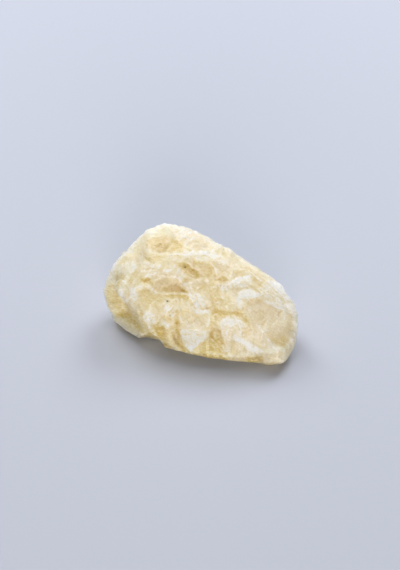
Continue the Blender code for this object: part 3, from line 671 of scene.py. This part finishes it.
def ledge_height(spots, height, fade, points, fall=1.5):
    """A step, half its height up on its high side and half down on the other, that fades away."""
    near = np.full(len(spots), np.inf)
    side = np.zeros(len(spots))
    for a, b in zip(points, points[1:]):
        away = segment_distance(spots, a, b)
        turn = (b[0] - a[0]) * (spots[:, 1] - a[1]) - (b[1] - a[1]) * (spots[:, 0] - a[0])
        side = np.where(away < near, -np.sign(turn), side)
        near = np.minimum(near, away)
    ends = [spot_distance(spots, end) for end in (points[0], points[-1])]
    taper = np.clip(np.minimum(*ends) / fade, 0, 1)
    return height / 2 * side * np.clip(1 - near / fade, 0, 1) ** fall * taper


def named_relief(spots):
    """Height in mm of the ledges, crests, pits and striae that the camera sees."""
    relief = sum(ledge_height(spots, height, fade, pairs(points))
                 for height, fade, *points in LEDGES.values())
    for height, half_width, *points in CRESTS.values():
        relief += height * line_share(spots, half_width, pairs(points))
    for height, softness, *corners in PITS.values():
        relief += height * area_share(spots, softness, pairs(corners))
    across = spots @ (math.sin(STRIAE_SLOPE), -math.cos(STRIAE_SLOPE)) / STRIAE_SPACING
    relief += STRIAE_DEPTH * (across % 1 - 0.5) * area_share(spots, STRIAE_SOFTNESS, pairs(STRIAE))
    return relief


def painted(spots, spots_of_lines, areas, lines, ground, patchy):
    """The marks laid one after another over a ground value, the lines patchy along their run."""
    value = ground.copy()
    for strength, softness, *corners in areas.values():
        value += (strength - value) * area_share(spots, softness, pairs(corners))
    for strength, half_width, *points in lines.values():
        share = line_share(spots_of_lines, half_width * LINE_SPREAD, pairs(points)) * patchy
        value += (strength - value) * share
    return value


def in_scene(name, data):
    """A new object in the scene."""
    made = bpy.data.objects.new(name, data)
    bpy.context.scene.collection.objects.link(made)
    return made


def fine_mesh():
    """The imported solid's shape as an even fine mesh."""
    rough = in_scene("rough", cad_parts["calcite"].data.copy())
    remesh = rough.modifiers.new("remesh", "REMESH")
    remesh.mode = "VOXEL"
    remesh.voxel_size = VOXEL * MM
    view = bpy.context.evaluated_depsgraph_get()
    mesh = bpy.data.meshes.new_from_object(rough.evaluated_get(view))
    bpy.data.objects.remove(rough)
    mesh.name = "stone"
    mesh.materials.clear()
    return mesh


def crystal_pattern(places, picker, spacing=7.0, reach=2.0):
    """Which crystal each place belongs to; the borders between them wander."""
    centres = picker.uniform(places.min(axis=0), places.max(axis=0), (CRYSTALS, 3))
    warped = places + wander(places, spacing, 0.0, 10.0, 20.0) * reach
    return np.argmin([((warped - centre) ** 2).sum(axis=1) for centre in centres], axis=0)


def uneven_cells(values, width, picker, least=0.5, most=1.6, start=-150, length=400):
    """Split values at uneven steps: each value's cell number and the middle of its cell."""
    steps = np.cumsum(picker.uniform(least, most, int(length / width))) * width + start
    cell = np.searchsorted(steps, values)
    return cell, (steps[cell - 1] + steps[cell]) / 2


def cleave(skin, crystal, cleavages, picker, amount, thickness, width, least, full):
    """Settle the skin on flat rhombic plates, stepped along each crystal's nearest cleavage."""
    normals = skin.blurred(skin.normals, PLATE_PASSES)
    normals /= np.linalg.norm(normals, axis=1)[:, None]
    ragged = PLATE_RAGGED * waves(skin.places, *PLATE_NOISE)
    shift = np.zeros_like(skin.places)
    for number, rows in enumerate(cleavages):
        mine = np.flatnonzero(crystal == number)
        facing = np.abs(normals[mine] @ rows.T)
        nearest = facing.argmax(axis=1)
        to_space = np.linalg.inv(rows).T
        for k in range(3):
            part = mine[nearest == k]
            coords = skin.places[part] @ rows.T
            i, j = (k + 1) % 3, (k + 2) % 3
            row, row_middle = uneven_cells(coords[:, i] + ragged[part], width, picker)
            slide = picker.uniform(0, width, CELL_COLUMNS)[row]
            cell, cell_middle = uneven_cells(coords[:, j] + ragged[part] + slide, width, picker)
            offset = np.zeros_like(coords)
            offset[:, i] = row_middle - coords[:, i]
            offset[:, j] = cell_middle - slide - coords[:, j]
            lean = normals[part] @ rows[k]
            height = coords[:, k] - (normals[part] * (offset @ to_space)).sum(axis=1) / lean
            chance = picker.uniform(-PLATE_CHANCE, PLATE_CHANCE, (CELL_ROWS, CELL_COLUMNS))
            chance = chance[row % CELL_ROWS, cell % CELL_COLUMNS]
            level = np.round(height / thickness + chance) * thickness
            furthest = PLATE_MOVE * thickness
            move = np.clip(level - coords[:, k], -furthest, furthest)
            share = step(facing[nearest == k, k], least, full - least) * amount[part]
            shift[part] = (share * move)[:, None] * rows[k]
    skin.places += skin.blurred(shift, 1)
    skin.refresh()


def crystal_streaks(skin, crystal, cleavages):
    """Noise between about -1 and 1 in thin sheets along one cleavage of each crystal."""
    stretched = np.zeros_like(skin.places)
    for number, rows in enumerate(cleavages):
        mine = crystal == number
        facing = np.abs(skin.normals[mine] @ rows.T).sum(axis=0)
        along = skin.places[mine] @ rows[np.argsort(facing)].T
        stretched[mine] = along / SHEET_SPACINGS + SHEET_SHIFT * number
    return fractal(stretched, 1.0, 2)


def tones(skin, shade, sheets):
    """How amber, frosted and hazy each point is: marked where the camera sees it, or by chance."""
    noises = {name: fractal(skin.places, *settings) for name, settings in NOISES.items()}
    noises["start"] = 1.0
    noises["cloud"] += CLOUD_SHEETS * sheets
    noises["ridge"] = np.clip(skin.stand(RIDGE_PASSES) / RIDGE_STAND, -1, 1)
    pool = np.clip((noises["pools"] + POOL_SHADE * (shade - 0.5)) * POOL_EDGE - POOL_START, 0, 1)
    noises["pool"] = pool
    patchy = blend(LINE_PATCHES, noises, LINE_LEAST)
    coarse, fine = (wander(skin.places, *settings) for settings in WANDERS)
    seen_at = picture_place(skin.places)
    at = (seen_at + coarse * AREA_WANDERS[0] + fine * AREA_WANDERS[1],
          seen_at + coarse * LINE_WANDER)
    seen = step(skin.normals @ BACK, *SEEN_FACING)

    amber = painted(*at, AMBER_AREAS, AMBER_LINES, blend(SEEN_AMBER, noises), patchy)
    amber *= 1 - AMBER_GRAIN * np.clip(noises["amber grain"], -1, 1)
    ground = blend(SEEN_FROST, noises) * (1 - CLEAR_SHARE * step(amber, *CLEAR_AMBER))
    frost = painted(*at, FROST_AREAS, FROST_LINES, ground, patchy)
    frost += frost * (FROST_CLOUD * np.clip(noises["cloud"], -1, 1)
                      + FROST_GRAIN * np.clip(noises["frost grain"], -1, 1))
    haze = painted(*at, HAZE_AREAS, {}, np.zeros(len(amber)), patchy)

    hidden = (blend(HIDDEN_AMBER, noises), blend(HIDDEN_FROST, noises) * (1 - POOL_CLEAR * pool),
              blend(HIDDEN_HAZE, noises))
    return [seen * marked + (1 - seen) * other
            for marked, other in zip((amber, frost, haze), hidden)]


def break_skin(skin, picker):
    """Cleave, roughen and tuck in the skin; each point's crystal shade and sheets come back."""
    crystal = crystal_pattern(skin.places, picker)
    cleavages = [cleavage_normals(picker.normal(0, 1, 3), picker.uniform(0, math.pi))
                 for _ in range(CRYSTALS)]
    shade = picker.uniform(0, 1, CRYSTALS)[crystal]
    sheets = crystal_streaks(skin, crystal, cleavages)
    amber, frost, _ = tones(skin, shade, sheets)
    rough = 1 - SMOOTH_SHARE * step(amber, *SMOOTH_AMBER) * (1 - step(frost, *SMOOTH_FROST))
    spots = picture_place(skin.places) + wander(skin.places, *RELIEF_WANDER)
    relief = RELIEF_GAIN * named_relief(spots) * step(skin.normals @ BACK, *RELIEF_FACING)
    cleave(skin, crystal, cleavages, picker, rough * BLOCK_AMOUNT, *PLATES["blocks"])
    skin.places += skin.normals * relief[:, None]
    skin.refresh()
    cleave(skin, crystal, cleavages, picker, rough, *PLATES["plates"])
    grit = sum(waves(skin.places, spacing, shift) * high for spacing, shift, high in GRIT)
    grit += picker.normal(0, GRIT_GRAIN, len(grit)) + GRIT_SHEETS * sheets
    skin.places += skin.normals * (grit * (GRIT_PLAIN + GRIT_FROST * frost) * rough)[:, None]
    skin.places = np.clip(skin.places, *(np.array(corner) / MM for corner in CAD_BOX))
    tuck = TUCK * np.clip(1 - skin.places[:, 2] / TUCK_HEIGHT, 0, 1) ** 2
    skin.places[:, :2] -= skin.blurred(skin.normals, TUCK_PASSES)[:, :2] * tuck[:, None]
    skin.places[skin.places[:, 2] < FOOT, 2] = 0
    skin.refresh()
    return shade, sheets


def colour_skin(skin, shade, sheets):
    """Give each point its amber, frost, haze, and its specks, dirt and painted shade."""
    amber, frost, haze = tones(skin, shade, sheets)
    bulge = np.clip(skin.stand(BULGE_PASSES) / BULGE_STAND, -1, 1)
    frost = np.clip(frost + (BULGE_PLAIN + BULGE_FROST * frost) * bulge, 0, 1)
    # painted shade: skin that faces down turns deeper honey, loses its frost and darkens
    under = step(-skin.blurred(skin.normals, UNDER_PASSES)[:, 2], *UNDER_FACING)
    under *= np.clip(UNDER_START + UNDER_SHARE * fractal(skin.places, *UNDER_NOISE), UNDER_LEAST, 1)
    amber = amber + (1 - amber) * under
    frost = frost * (1 - UNDER_CLEAR * under)

    facing = skin.normals @ BACK
    spots = picture_place(skin.places)
    grains = np.clip(1 + DIRT_AND_SHADE_GRAINS * fractal(skin.places, *DIRT_AND_SHADE_NOISE), 0, 2)
    # darker skin: grit, and painted shade along the lower edge and under the stone
    dirt_and_shade = painted(spots, spots, DIRT_AND_SHADE_AREAS, {}, np.zeros(len(spots)), 1.0)
    specks_dirt_and_shade = np.maximum(dirt_and_shade * grains * (facing > DIRT_AND_SHADE_FACING), UNDER_SHADE_AND_DIRT * under)
    for across, down, radius, dark in SPECKS.values():
        share = np.clip(SPECK_REACH - spot_distance(spots, (across, down)) / radius, 0, 1)
        specks_dirt_and_shade = np.maximum(specks_dirt_and_shade, dark * share * (facing > 0))
    for name, values in (("amber", amber), ("frost", frost), ("haze", haze), ("specks_dirt_and_shade", specks_dirt_and_shade)):
        skin.attribute(name, values)


def main():
    mesh = fine_mesh()
    skin = Skin(mesh)
    skin.places = swollen(skin.blurred(skin.places, MELT))
    skin.refresh()
    colour_skin(skin, *break_skin(skin, np.random.default_rng(SEED)))
    mesh.polygons.foreach_set("use_smooth", np.ones(len(mesh.polygons), bool))
    stone = in_scene("stone", mesh)
    mesh.materials.append(stone_material())
    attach(stone, "root")
    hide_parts("calcite")


def srgb(levels):
    """A colour given as 0 to 255 on screen, as light, by the standard sRGB curve."""
    shares = [level / 255 for level in levels]
    return tuple(share / 12.92 if share <= 0.04045 else ((share + 0.055) / 1.055) ** 2.4
                 for share in shares) + (1.0,)


class Nodes:
    """Short calls that add nodes to a material."""

    def __init__(self, name):
        self.material = bpy.data.materials.new(name)
        self.material.use_nodes = True
        self.tree = self.material.node_tree
        self.shader = self.tree.nodes["Principled BSDF"]

    def add(self, kind, **settings):
        node = self.tree.nodes.new(kind)
        for key, value in settings.items():
            setattr(node, key, value)
        return node

    def feed(self, target, value):
        """Link a socket to the target, or set the target to a plain value."""
        if isinstance(value, bpy.types.NodeSocket):
            self.tree.links.new(value, target)
        else:
            target.default_value = value

    def fill(self, node, values):
        for name, value in values.items():
            self.feed(node.inputs[name], value)
        return node

    def attribute(self, name):
        return self.add("ShaderNodeAttribute", attribute_name=name).outputs["Fac"]

    def math(self, operation, first, second, clamp=False):
        node = self.add("ShaderNodeMath", operation=operation, use_clamp=clamp)
        return self.fill(node, {0: first, 1: second}).outputs[0]

    def mix(self, share, first, second):
        node = self.add("ShaderNodeMix", data_type="RGBA")
        return self.fill(node, {"Factor": share, 6: first, 7: second}).outputs[2]

    def noise(self, spacing, detail, roughness, stretch=None):
        """Noise with one wave to a spacing in mm."""
        where = self.add("ShaderNodeTexCoord").outputs["Object"]
        if stretch:
            mapping = self.add("ShaderNodeMapping")
            where = self.fill(mapping, {"Scale": stretch, "Vector": where}).outputs["Vector"]
        node = self.add("ShaderNodeTexNoise")
        self.fill(node, {"Vector": where, "Scale": 1 / (spacing * MM), "Detail": detail,
                         "Roughness": roughness})
        return node.outputs["Fac"]

    def ramp(self, value, stops):
        node = self.add("ShaderNodeValToRGB")
        self.feed(node.inputs["Fac"], value)
        band = node.color_ramp
        while len(band.elements) < len(stops):
            band.elements.new(0.5)
        for element, (place, colour) in zip(band.elements, stops):
            element.position = place
            element.color = srgb(colour)
        return node.outputs["Color"]

    def scale(self, value, low, high, new_low, new_high):
        node = self.add("ShaderNodeMapRange")
        self.fill(node, {"Value": value, "From Min": low, "From Max": high, "To Min": new_low,
                         "To Max": new_high})
        return node.outputs["Result"]


def stone_material():
    """Translucent honey calcite, frosted white where it is bruised, clear where it broke clean."""
    n = Nodes("calcite")
    amber, frost, haze, specks_dirt_and_shade = (n.attribute(name) for name in ("amber", "frost", "haze", "specks_dirt_and_shade"))
    fleck = n.scale(n.noise(*FLECK), *FLECK_RANGE)
    depth = n.math("ADD", n.math("MULTIPLY", amber, AMBER_SHARE), fleck, clamp=True)
    body = n.ramp(depth, BODY_COLOURS)
    body = n.mix(n.math("MULTIPLY", haze, HAZE_SHARE), body, srgb(HAZE_COLOUR))
    dust = n.scale(n.noise(*DUST), *DUST_RANGE)
    white = n.math("ADD", frost, dust, clamp=True)
    cream = n.math("MULTIPLY", n.scale(n.noise(*CREAM), *CREAM_RANGE),
                   n.scale(frost, *CREAM_BY_FROST))
    bloom = n.mix(cream, n.ramp(white, BLOOM_COLOURS), srgb(CREAM_COLOUR))
    body = n.mix(white, body, bloom)
    # dark specks and grit, and painted shade
    body = n.mix(specks_dirt_and_shade, body, srgb(DIRT_AND_SHADE_COLOUR))
    bump = n.add("ShaderNodeBump")
    grain = n.math("MULTIPLY", n.noise(*GRAIN), n.scale(white, *GRAIN_BY_WHITE))
    n.fill(bump, {**BUMP, "Height": grain})
    n.fill(n.shader, {"Base Color": body, "Roughness": n.scale(white, *ROUGHNESS_BY_WHITE),
                      "Normal": bump.outputs["Normal"], **SHADER})
    return n.material


def floor():
    """Plain pale floor."""
    mesh = bpy.data.meshes.new("floor")
    corners = [(across * FLOOR_HALF, away * FLOOR_HALF, 0)
               for across, away in ((-1, -1), (1, -1), (1, 1), (-1, 1))]
    mesh.from_pydata(corners, [], [(0, 1, 2, 3)])
    plate = in_scene("floor", mesh)
    n = Nodes("floor")
    n.fill(n.shader, {"Base Color": srgb(FLOOR_COLOUR), "Roughness": FLOOR_ROUGHNESS})
    mesh.materials.append(n.material)


def camera():
    data = bpy.data.cameras.new("camera")
    data.lens = LENS
    data.sensor_width = SENSOR
    eye = in_scene("camera", data)
    turn = Matrix((RIGHT, UP, BACK)).transposed()
    eye.matrix_world = Matrix.Translation(Vector(EYE * MM)) @ turn.to_4x4()
    bpy.context.scene.camera = eye


def soft_box(name, bearing, height, power, colour):
    """A round soft light at LIGHT_DISTANCE, its bearing counted from straight behind the stone."""
    data = bpy.data.lights.new(name, "AREA")
    data.shape = "DISK"
    data.size = LIGHT_SIZE
    data.energy = power
    data.color = colour
    lamp = in_scene(name, data)
    bearing, height = math.radians(bearing), math.radians(height)
    level = AWAY * math.cos(bearing) + RIGHT * math.sin(bearing)
    place = level * math.cos(height) + np.array((0, 0, math.sin(height)))
    place = Vector(place) * LIGHT_DISTANCE
    turn = place.to_track_quat("Z", "Y").to_matrix().to_4x4()
    lamp.matrix_world = Matrix.Translation(place) @ turn


def light():
    world = bpy.data.worlds.new("world")
    bpy.context.scene.world = world
    world.use_nodes = True
    sky = world.node_tree.nodes["Background"]
    sky.inputs["Color"].default_value = SKY_COLOUR
    sky.inputs["Strength"].default_value = SKY
    for name, settings in SOFT_BOXES.items():
        soft_box(name, *settings)
    bpy.context.scene.view_settings.view_transform = "Standard"


main()
floor()
camera()
light()
